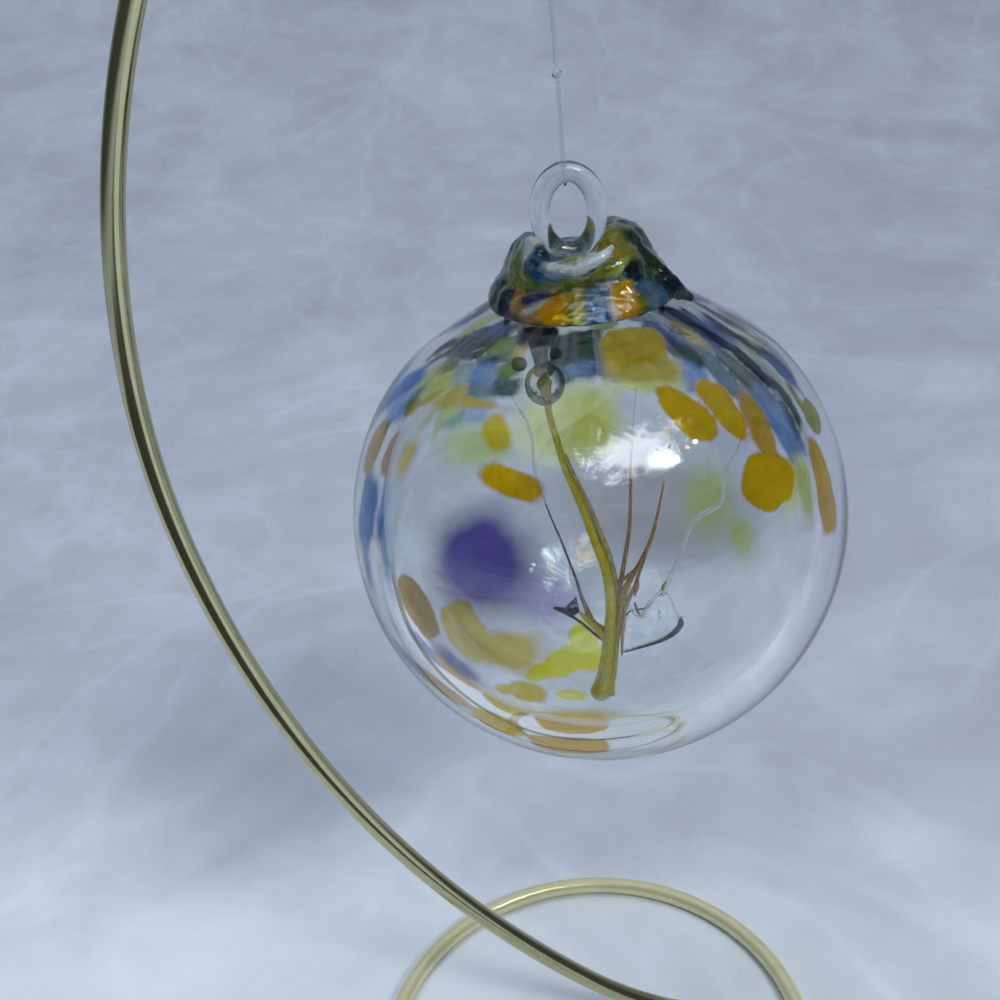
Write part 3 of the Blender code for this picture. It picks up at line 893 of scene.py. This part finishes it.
treeStrands = {  # x, y, z and radius along each strand
    "yellow": (
        ((-2.6, -9.6, -40.2, 2.5), (-2, -9, -38.4, 2.1), (-1.3, -8.5, -35.8, 1.75), (-0.3, -7.6, -31.1, 1.6),
         (0.5, -7, -26.2, 1.5), (1.1, -6.4, -21.4, 1.3), (1.2, -5.8, -17, 1.2), (1, -5.4, -13, 1.15),
         (0.4, -4.9, -9.2, 1.1), (-0.9, -4.3, -4.8, 1), (-2.1, -3.7, 0, 0.95), (-3.4, -3.1, 4.5, 0.9),
         (-4.8, -2.5, 9, 0.85), (-6, -2, 12.9, 0.8), (-6.9, -1.4, 17.6, 0.75), (-7.8, -0.9, 21.8, 0.7),
         (-8.3, -0.4, 25.2, 0.7)),
        ((-0.4, -7.3, -27.5, 0.9), (-2, -6.9, -24.6, 0.8), (-4.4, -6.5, -21.6, 0.6),
         (-5.6, -6.3, -20.2, 0.3)),
        ((-0.3, -10.4, -40.4, 0.8), (0.1, -9.6, -37, 0.7), (1.1, -8.6, -31, 0.6), (1.9, -7.8, -26, 0.4),
         (2.4, -7.4, -23, 0.2)),
        ((-3.4, -10.2, -40.6, 0.7), (-2.8, -10, -37, 0.5), (-1.6, -9.4, -33.6, 0.3)),
    ),
    "honey": (
        ((0.8, -8.8, -36.5, 0.3), (1.3, -8, -32, 0.55), (1.7, -7.2, -28, 0.75), (2.1, -6.9, -25, 0.85),
         (2.9, -6.5, -21, 0.9), (4.1, -6, -17, 0.75), (5.5, -5.6, -13.8, 0.5), (6.6, -5.2, -11.8, 0.3)),
        ((2, -8.3, -27, 0.2), (2.4, -7.8, -22, 0.3), (3.4, -7.2, -17.6, 0.2)),
    ),
    "casing": (
        ((2.8, -5.8, -18, 0.3), (2.7, -5.4, -15, 0.55), (2.2, -5, -11.5, 0.65), (1.4, -4.5, -7, 0.65),
         (0.2, -4, -3, 0.6), (-1, -3.5, 1.5, 0.5), (-2.5, -3, 6, 0.4), (-4.1, -2.5, 10.5, 0.3),
         (-5.5, -1.9, 15, 0.2)),
        ((2.6, -8.4, -31, 0.2), (3, -7.8, -27, 0.4), (3.4, -7.3, -23, 0.45), (4.4, -6.8, -19, 0.4),
         (5.8, -6.4, -15.4, 0.2)),
    ),
    "amber": (
        ((1.6, -6.9, -25, 0.5), (2.2, -6.4, -22, 0.5), (2.7, -6, -18, 0.5), (3.6, -5.5, -14.1, 0.5),
         (5, -4.7, -7.9, 0.48), (6.2, -3.9, -2, 0.4), (6.8, -3.1, 4.5, 0.34), (7.3, -2.2, 11.9, 0.24),
         (7.6, -1.8, 14, 0.18)),
        ((2.6, -6.7, -24, 0.5), (4, -6.1, -18, 0.5), (5.7, -5.4, -13.9, 0.5), (8, -4.9, -10, 0.48),
         (10.2, -4.4, -5.8, 0.42), (11.6, -3.9, -1.5, 0.34), (12.7, -3.3, 2.7, 0.26),
         (13.6, -2.9, 6.6, 0.16)),
        ((3.4, -6.6, -22.4, 0.35), (5.2, -6.1, -18, 0.4), (6.4, -5.8, -15.5, 0.4), (7.7, -5.3, -12.2, 0.35),
         (9.6, -4.6, -7.6, 0.2)),
        ((2.9, -6.2, -13.4, 0.3), (4.4, -6.2, -12.8, 0.45), (6, -5.9, -11.9, 0.45), (7.3, -5.5, -10.6, 0.3)),
        ((3.2, -6.3, -16.4, 0.25), (4.6, -6.3, -14.4, 0.4), (5.6, -6.1, -12.8, 0.35)),
        ((7, -5.8, -12.6, 0.2), (7.1, -5.9, -15.2, 0.35), (6.3, -6.1, -17.4, 0.25)),
        ((-0.2, -7, -27, 0.5), (-0.9, -6.8, -24.8, 0.6), (-2.4, -6.6, -23.4, 0.6), (-3.6, -6.4, -21.4, 0.6),
         (-4.3, -6.1, -18.8, 0.5), (-4.9, -5.8, -16.4, 0.35)),
    ),
    "mauve": (
        ((-3.2, -6.4, -21.4, 0.35), (-4.2, -6.1, -19, 0.5), (-4.9, -5.8, -16.6, 0.42),
         (-5.7, -5.3, -12.5, 0.32), (-6.9, -4.7, -7.8, 0.28), (-8.1, -4.1, -3.2, 0.24), (-9.4, -3.6, 1, 0.2),
         (-10.5, -3, 5, 0.16)),
    ),
    "smoke": (
        ((-0.6, -7.3, -28.2, 0.2), (-2.8, -6.9, -25.7, 0.32), (-5.7, -6.5, -22.4, 0.32),
         (-8.3, -6.2, -20.2, 0.36), (-10.8, -6, -18.6, 0.3)),
        ((2.8, -7.6, -31, 0.15), (6.8, -7.5, -30.3, 0.24), (11.2, -7.4, -29.2, 0.4),
         (14.1, -7.3, -27.6, 0.65), (15.8, -7, -25.7, 0.6), (15.9, -6.7, -24, 0.25)),
    ),
    "pale": (
        ((12.3, -5.9, -18.2, 0.4), (12.9, -5.8, -16.6, 0.55), (14.2, -5.4, -13.5, 0.6),
         (16.1, -4.9, -9.9, 0.55), (17.4, -4.5, -6.6, 0.4), (18.6, -4.1, -3.7, 0.45),
         (20.3, -3.9, -1.6, 0.6), (22.9, -3.7, -0.4, 0.6), (24.8, -3.6, 0.7, 0.5), (25.7, -3.2, 3.4, 0.38),
         (25.8, -2.9, 6.4, 0.32), (27.1, -2.5, 9.3, 0.28), (28.8, -2.2, 11.8, 0.2)),
        # the next four are painted highlights on the right sheet: white streaks, a white arc, a white
        # triangle and a line along its dark lower edge
        ((7.4, -6.7, -22.8, 0.35), (9.4, -6.4, -19.6, 0.5), (11.8, -6.1, -17, 0.4)),
        ((5, -6.7, -20.2, 0.15), (6.2, -6.7, -22.2, 0.26), (8.4, -6.7, -23, 0.2)),
        ((10.9, -6.9, -24.8, 0.12), (11.3, -6.8, -22.8, 0.45), (11.2, -6.7, -21.2, 0.1)),
        ((3.2, -7.8, -30.3, 0.1), (7, -7.8, -29.4, 0.15), (11.2, -7.7, -28.2, 0.2),
         (13.8, -7.6, -26.6, 0.14)),
        ((15.6, -6.7, -24, 0.25), (14.7, -6.6, -21.6, 0.3), (13.8, -6.3, -19.2, 0.28)),
        ((3.1, -7.4, -30, 0.12), (3.4, -7, -26.5, 0.14), (4.6, -6.6, -21.8, 0.14)),
        ((-6.9, -5, -9, 0.12), (-6.8, -5.3, -12.6, 0.18), (-6.2, -5.7, -15.8, 0.22)),
        ((-10.4, -3, 4.6, 0.18), (-11.6, -2.5, 9.4, 0.3), (-12, -1.9, 14.1, 0.34), (-11.8, -1.4, 18.2, 0.36),
         (-12.4, -0.9, 21.9, 0.34), (-13.6, -0.6, 24.4, 0.22)),
    ),
    "clear": (
        ((-13.5, -0.6, 24, 0.18), (-14.8, -0.4, 27, 0.12), (-16.4, 0, 31, 0.12), (-19.5, 0.5, 39.6, 0.2)),
        ((7.6, -1.8, 14.6, 0.14), (8, -1.4, 18, 0.12), (8.6, -0.9, 22, 0.1), (9.4, -0.4, 27, 0.1),
         (11.5, 0, 42.6, 0.2)),
        ((13.5, -2.9, 6.2, 0.14), (14.7, -2.3, 10.6, 0.12), (15.3, -1.5, 17, 0.1), (16.2, -0.8, 26, 0.1),
         (17.5, 0, 40.3, 0.2)),
        ((28.7, -2.2, 11.6, 0.18), (30.4, -1.5, 16, 0.12), (32, -1.5, 20, 0.1), (34.6, -1, 27, 0.2)),
    ),
    "veil": (
        ((7.5, -1.8, 13.6, 0.18), (8, -1.4, 18, 0.13), (8.6, -0.9, 22, 0.11), (9.2, -0.5, 26, 0.08)),
        ((13.5, -2.9, 6.2, 0.18), (14.7, -2.3, 10.6, 0.14), (15.3, -1.5, 15, 0.12), (15.7, -1.1, 19, 0.08)),
        ((28.7, -2.2, 11.6, 0.22), (30.2, -1.6, 15.6, 0.14), (31.2, -1.5, 18.6, 0.08)),
    ),
    "green": (
        ((12.1, -6.1, -16.9, 0.3), (12.4, -6.1, -16, 0.42), (12.9, -6, -15.2, 0.3)),
        ((6.2, -6.6, -19, 0.2), (6.5, -6.6, -20.8, 0.28), (7.1, -6.7, -22.2, 0.18)),
    ),
}

treeWebs = {  # the two long edges of each thin sheet between strands, and its finish
    "right": (
        ((2.9, -7.5, -30.4), (7, -7.4, -29.8), (11.2, -7.3, -28.8), (14.2, -7.1, -27), (15.6, -6.8, -24.6)),
        ((3.1, -7, -26.5), (4.4, -6.4, -21.6), (8.5, -6.1, -20.6), (12.6, -5.8, -17.4), (14.6, -6.5, -22.6)),
        "clear",
    ),
    "left": (
        ((-10.9, -6, -18.4), (-9, -6.2, -19.4), (-7.4, -6.3, -20.4), (-5.6, -6.2, -19.8)),
        ((-11, -5.9, -18.1), (-8.9, -6, -18.6), (-7.2, -5.9, -17.4), (-6, -5.7, -16.2)),
        "violet",
    ),
}

dripSettings = {
    "drop": {"middle": (-8.4, 0.0, 28.9), "radius": 3.2},
    "heart": (
        (-8.5, -1.4, 30.6, 0.5), (-8.5, -1.6, 29.4, 1.25), (-8.4, -1.7, 28.2, 0.9), (-8.2, -1.7, 26.6, 0.7),
        (-8, -1.5, 25, 0.6),
    ),
    # a dark glass ring round the drop: painted shade for the dark edge of a clear drop
    "paintedDarkRing": {"middle": (-8.4, -0.6, 28.9), "radius": 3.3, "thickness": 0.62, "tilt": 68},
    # two dark glass lobes beside the stem: painted refraction of the dark cap in the drip's shoulders
    "paintedLobes": ({"middle": (-12.9, -0.4, 33.3), "radius": 1.5}, {"middle": (-5.8, -0.4, 34.7), "radius": 1.25}),
    "stem": (
        (-8.4, 0, 31.4, 1.9), (-8.7, 0, 33.2, 1.35), (-8.8, 0, 35.6, 1.7), (-8.6, 0, 38.4, 2.2),
        (-8.4, 0, 41.2, 3.4),
    ),
}


webSettings = {"columns": 28, "rows": 16, "sag": 0.1, "ripple": 0.5, "thickness": 0.35}


def makeWeb(bm, lower, upper, settings):
    columns, rows = settings["columns"], settings["rows"]
    grid = bmesh.ops.create_grid(bm, x_segments=columns, y_segments=rows, size=0.5)["verts"]
    lowLine, highLine = (smoothCurve([Vector(point) for point in line], 12) for line in (lower, upper))
    for vert in grid:
        along, across = vert.co.x + 0.5, vert.co.y + 0.5
        low = lowLine[round(along * (len(lowLine) - 1))]
        high = highLine[round(along * (len(highLine) - 1))]
        sag = settings["sag"] * (high - low).length * math.sin(math.pi * across) * math.sin(math.pi * along)
        ripple = settings["ripple"] * noise.noise(Vector((along * 5, across * 3, low.x)))
        vert.co = low.lerp(high, across) + Vector((0, sag + ripple, 0))
    faces = list({face for vert in grid for face in vert.link_faces})
    bmesh.ops.solidify(bm, geom=faces, thickness=settings["thickness"])


def addBlob(bm, middle, radius):  # a drop of glass, not quite round
    drop = bmesh.ops.create_icosphere(bm, subdivisions=5, radius=radius, matrix=Matrix.Translation(middle))
    for vert in drop["verts"]:
        offset = vert.co - Vector(middle)
        vert.co += offset * 0.06 * noise.noise(offset / radius + Vector(middle))


def addPaintedDarkRing(bm, middle, radius, thickness, tilt):  # a ring of dark glass round the drop, painted shade for the dark edge that a clear drop shows
    ring = bmesh.new()
    turns = [math.tau * step / 24 for step in range(25)]
    section = [(radius + thickness * math.cos(turn), thickness * math.sin(turn)) for turn in turns]
    spinProfile(ring, section, 64)
    turned = Matrix.Rotation(math.radians(tilt), 3, "X")
    bmesh.ops.rotate(ring, verts=ring.verts, cent=(0, 0, 0), matrix=turned)
    bmesh.ops.translate(ring, verts=ring.verts, vec=middle)
    mesh = bpy.data.meshes.new("paintedDarkRing")
    ring.to_mesh(mesh)
    ring.free()
    addMesh(bm, mesh)


def makeTree():
    finishes = {name: strandMaterial(name + "Strand", *look) for name, look in strandFinishes.items()}
    for name, colour in clearFinishes.items():
        finishes[name] = clearGlassMaterial(name + "Glass", colour)
    bodies = {name: bmesh.new() for name in finishes}
    for finish, lines in treeStrands.items():
        for points in lines:
            addStrand(bodies[finish], points, sides=12, count=8)
    for lower, upper, finish in treeWebs.values():
        makeWeb(bodies[finish], lower, upper, webSettings)
    addStrand(bodies["mist"], dripSettings["stem"], sides=28)
    addBlob(bodies["drip"], **dripSettings["drop"])
    addStrand(bodies["yellow"], dripSettings["heart"], sides=20, count=8)
    # painted shade and painted refraction: dark glass round the drop and beside the stem
    addPaintedDarkRing(bodies["paintedRefraction"], **dripSettings["paintedDarkRing"])
    for paintedLobe in dripSettings["paintedLobes"]:
        addBlob(bodies["paintedRefraction"], **paintedLobe)
    for name, bm in bodies.items():
        finishPiece(bm, name + "Strands", finishes[name], "globe_glass")
    print("tree")


makeTree()


# Wire stand: one gold-plated wire, ring foot, bowed arm and hook

standSettings = {  # bends are radius and degrees turned, from the foot up to the hook's tip
    "wire": 2.25,
    "footMiddle": (-10.2, -4.9),
    "footRadius": 54.2,
    "freeEnd": 4.0,
    "landsAt": 26.0,
    "bends": ((38.2, 27.4), (88.9, 15.1), (239.4, 38.7), (176, 45.1), (32.8, 143.7), (8, 200)),
    "step": 1.5,
    "sides": 28,
}


def standRoute(settings):
    footX, footY = settings["footMiddle"]
    ring, lands = settings["footRadius"], settings["landsAt"]
    footHeight = fromCentre(Vector((0, 0, tableHeight))).z + settings["wire"]
    across, back = lands - footX, -footY
    small = (ring**2 - across**2 - back**2) / (2 * (ring - back))
    joins = math.degrees(math.atan2(-small - footY, across))
    route = []
    for x, y, radius, start, end in (
        (footX, footY, ring, settings["freeEnd"], 360 + joins),
        (lands, -small, small, joins, 90),
    ):
        steps = math.ceil(math.radians(end - start) * radius / settings["step"])
        for step in range(steps):
            turn = math.radians(start + (end - start) * step / steps)
            route.append((x + radius * math.cos(turn), y + radius * math.sin(turn), footHeight))
    x, z, heading = lands, footHeight, 180.0
    route.append((x, 0, z))
    for radius, turn in settings["bends"]:
        steps = math.ceil(max(math.radians(turn) * radius / settings["step"], turn / 6))
        for _ in range(steps):
            before, heading = math.radians(heading), heading - turn / steps
            after = math.radians(heading)
            x += radius * (math.sin(before) - math.sin(after))
            z += radius * (math.cos(after) - math.cos(before))
            route.append((x, 0, z))
    return [place(*point) for point in route]


def goldWireMaterial():  # polished up the arm, satin round the foot
    material, tree, shader = startMaterial("goldWire")
    vector = objectPlace(tree)
    height = addNode(tree, "SeparateXYZ", {0: vector}).outputs[2]
    low = tableHeight - globeCentre.z
    foot = remap(tree, height, low + 10 * mm, low + 5 * mm, soft=True)
    cloud = addNoise(tree, vector, 120, 4, 0.6)
    # painted light: the arm's gold is painted darker and the foot's lighter, painted reflections of dark
    # surroundings on the arm and bright sky on the foot
    paintedShadedArm = mixColours(tree, cloud, (0.40, 0.38, 0.22), (0.62, 0.59, 0.36))
    paintedLitFoot = mixColours(tree, cloud, (0.68, 0.66, 0.38), (0.96, 0.94, 0.62))
    tree.links.new(mixColours(tree, foot, paintedShadedArm, paintedLitFoot), shader.inputs["Base Color"])
    wear = cloudy(tree, vector, 160, 2, low=-0.03, high=0.03, spread=0.5)
    rough = remap(tree, foot, 0.0, 1.0, 0.15, 0.3)
    tree.links.new(maths(tree, "ADD", rough, wear), shader.inputs["Roughness"])
    tree.links.new(remap(tree, foot, 0.0, 1.0, 0.95, 0.4), shader.inputs["Metallic"])
    return material


def makeStand(settings):
    route = standRoute(settings)
    mesh = tubeMesh("wireStand", route, [settings["wire"] * mm] * len(route), settings["sides"])
    addPiece("wireStand", mesh, goldWireMaterial(), "stand_wire", "wire_stand")
    print("stand", len(mesh.polygons), "faces")


makeStand(standSettings)


# Floor, light and surroundings

floorSettings = {"size": 3.2, "widen": 1.6, "riseFrom": 0.45, "rise": 0.42}
lightSettings = {  # where from, distance, size, power, colour
    "key": ((0.47, -0.60, 0.64), 1.2, 0.28, 4.6, (1.0, 0.97, 0.92)),
    "overhead": ((0.0, -0.1, 1.0), 3.0, 4.0, 57.0, (0.93, 0.97, 1.0)),
}
skyCardSettings = {  # the bright patch of sky in the glass's gloss: places are shares of the card
    "from": (0.27, -0.48, 0.83),
    "distance": 600.0,
    "size": 700.0,
    "patches": (  # the cloud, its brightest part, the sun and a spark: middle, reach, edges, raggedness, glow
        ((0.45, 0.50), (0.30, 0.18), (1.15, 0.55), 1.0, 6.5),
        ((0.60, 0.34), (0.09, 0.09), (1.3, 0.5), 0.6, 15.0),
        ((0.65, 0.315), (0.026, 0.026), (1.3, 0.5), 0.6, 110.0),
        ((0.84, 0.39), (0.02, 0.02), (1.3, 0.5), 0.6, 30.0),
    ),
}
worldColour = (0.085, 0.095, 0.11)
flagSettings = {"middle": (-250.0, -460.0), "size": (740.0, 660.0)}  # dark card for the wire's shaded side


def clothMaterial():
    material, tree, shader = startMaterial("paleCloth", Roughness=0.9)
    vector = objectPlace(tree)
    across, depth = addNode(tree, "SeparateXYZ", {0: vector}).outputs[:2]
    # painted light: the floor is painted lighter towards the left and towards the camera, with a wandering
    # edge
    slant = maths(tree, "DIVIDE", maths(tree, "ADD", across, 0.02), maths(tree, "ADD", depth, 0.22))
    side = remap(tree, slant, -0.3, 0.3, 1.06, 0.95)
    paintedLightWander = cloudy(tree, vector, 9, 3, 0.5, 0.8, -0.03, 0.03)
    depth = maths(tree, "ADD", depth, maths(tree, "ADD", paintedLightWander, maths(tree, "MULTIPLY", across, 0.22)))
    paintedNearLight = remap(tree, depth, 0.115, 0.03, soft=True)
    paintedLightTone = mixColours(tree, paintedNearLight, (0.53, 0.585, 0.70), (0.76, 0.84, 0.94))
    # painted shade and light of soft folds and creases on a flat floor, over the weave's own grain
    folds = cloudy(tree, vector, 7, 4, 0.55, 0.7, 0.88, 1.12)
    weave = cloudy(tree, vector, 26, 5, 0.65, 0.5, 0.93, 1.07)
    paintedCreaseLight = maths(tree, "ABSOLUTE", maths(tree, "SUBTRACT", addNoise(tree, vector, 6, 2, 0.5, 1.5), 0.5))
    paintedCreaseLight = remap(tree, paintedCreaseLight, 0.0, 0.05, 1.06, 1.0, soft=True)
    for part in (weave, side, paintedCreaseLight):
        folds = maths(tree, "MULTIPLY", folds, part)
    tree.links.new(mixColours(tree, 1.0, paintedLightTone, folds, "MULTIPLY"), shader.inputs["Base Color"])
    return material


def makeFloor(settings):
    bm = bmesh.new()
    bmesh.ops.create_grid(bm, x_segments=80, y_segments=120, size=settings["size"])
    for vert in bm.verts:  # flat under the stand, then it rises into a backdrop
        rise = max(vert.co.y - settings["riseFrom"], 0.0)
        vert.co.x *= settings["widen"]
        vert.co.z = tableHeight + settings["rise"] * rise * rise
    addStagePiece("floor", bmeshToMesh(bm, "floor"), clothMaterial())


def makeCard(name, material, matrix, width, depth):  # a flat card that only gloss and glass see
    bm = bmesh.new()
    bm.loops.layers.uv.new("card")
    bmesh.ops.create_grid(bm, x_segments=1, y_segments=1, size=0.5, calc_uvs=True)
    bmesh.ops.scale(bm, vec=(width * mm, depth * mm, 1), verts=bm.verts)
    bmesh.ops.transform(bm, matrix=matrix, verts=bm.verts)
    card = addStagePiece(name, bmeshToMesh(bm, name, recalculate=False), material)
    card.visible_camera = card.visible_diffuse = card.visible_shadow = False
    return card


def makeFlag(settings):  # seen in gloss only, not through the glass
    material = startMaterial("darkCard", Roughness=1.0, Base_Color=(0.03, 0.03, 0.025, 1))[0]
    middle = place(*settings["middle"], 0)
    matrix = Matrix.Translation((middle.x, middle.y, tableHeight + 1 * mm))
    makeCard("darkCard", material, matrix, *settings["size"]).visible_transmission = False


def skyCardMaterial(patches):
    material, tree, shader = startMaterial("skyCard", Roughness=1.0, Base_Color=(0, 0, 0, 1))
    shader.inputs["Emission Strength"].default_value = 1.0
    spot = addNode(tree, "UVMap", uv_map="card").outputs["UV"]
    ragged = cloudy(tree, spot, 11, 6, 0.7, 0.6, -0.8, 0.8)
    glow = 0.0
    for middle, reach, (edge, heart), raggedness, brightness in patches:
        apart = vectorMaths(tree, "SUBTRACT", spot, (*middle, 0))
        apart = vectorMaths(tree, "MULTIPLY", apart, (1 / reach[0], 1 / reach[1], 0))
        away = vectorMaths(tree, "LENGTH", apart, output="Value")
        away = maths(tree, "ADD", away, maths(tree, "MULTIPLY", ragged, raggedness))
        lit = remap(tree, away, edge, heart, 0.0, brightness, soft=True)
        glow = maths(tree, "ADD", glow, lit)
    sky = mixColours(tree, 1.0, (0.96, 0.98, 1.0), glow, "MULTIPLY")
    tree.links.new(mixColours(tree, 1.0, sky, worldColour, "ADD"), shader.inputs["Emission Color"])
    return material


def makeSkyCard(settings):
    way = Vector(settings["from"]).normalized()
    side = upward.cross(way).normalized()
    turn = Matrix((side, way.cross(side), way)).transposed().to_4x4()
    middle = Matrix.Translation(globeCentre + way * settings["distance"] * mm)
    size = settings["size"]
    makeCard("skyCard", skyCardMaterial(settings["patches"]), middle @ turn, size, size)


def makeLight(name, where, distance, size, power, colour):
    light = bpy.data.lights.new(name, "AREA")
    light.shape = "DISK"
    light.size = size
    light.energy = power
    light.color = colour
    obj = addToScene(name, light)
    way = Vector(where).normalized()
    obj.location = globeCentre + way * distance
    obj.rotation_euler = way.to_track_quat("Z", "Y").to_euler()
    obj.visible_glossy = False
    obj.visible_transmission = name != "key"


def makeWorld(colour):
    world = bpy.data.worlds.new("softSky")
    world.use_nodes = True
    tree = world.node_tree
    way = addNode(tree, "TexCoord").outputs["Generated"]
    back = vectorMaths(tree, "DOT_PRODUCT", way, (0, 0.85, 0.53), "Value")
    high = remap(tree, back, 0.1, 0.95, 0.45, 4.5, soft=True)
    tree.links.new(mixColours(tree, 1.0, colour, high, "MULTIPLY"), tree.nodes["Background"].inputs["Color"])
    bpy.context.scene.world = world


makeFloor(floorSettings)
makeFlag(flagSettings)
makeSkyCard(skyCardSettings)
for name, settings in lightSettings.items():
    makeLight(name, *settings)
makeWorld(worldColour)
bpy.context.scene.view_settings.view_transform = "Standard"
print("stage")
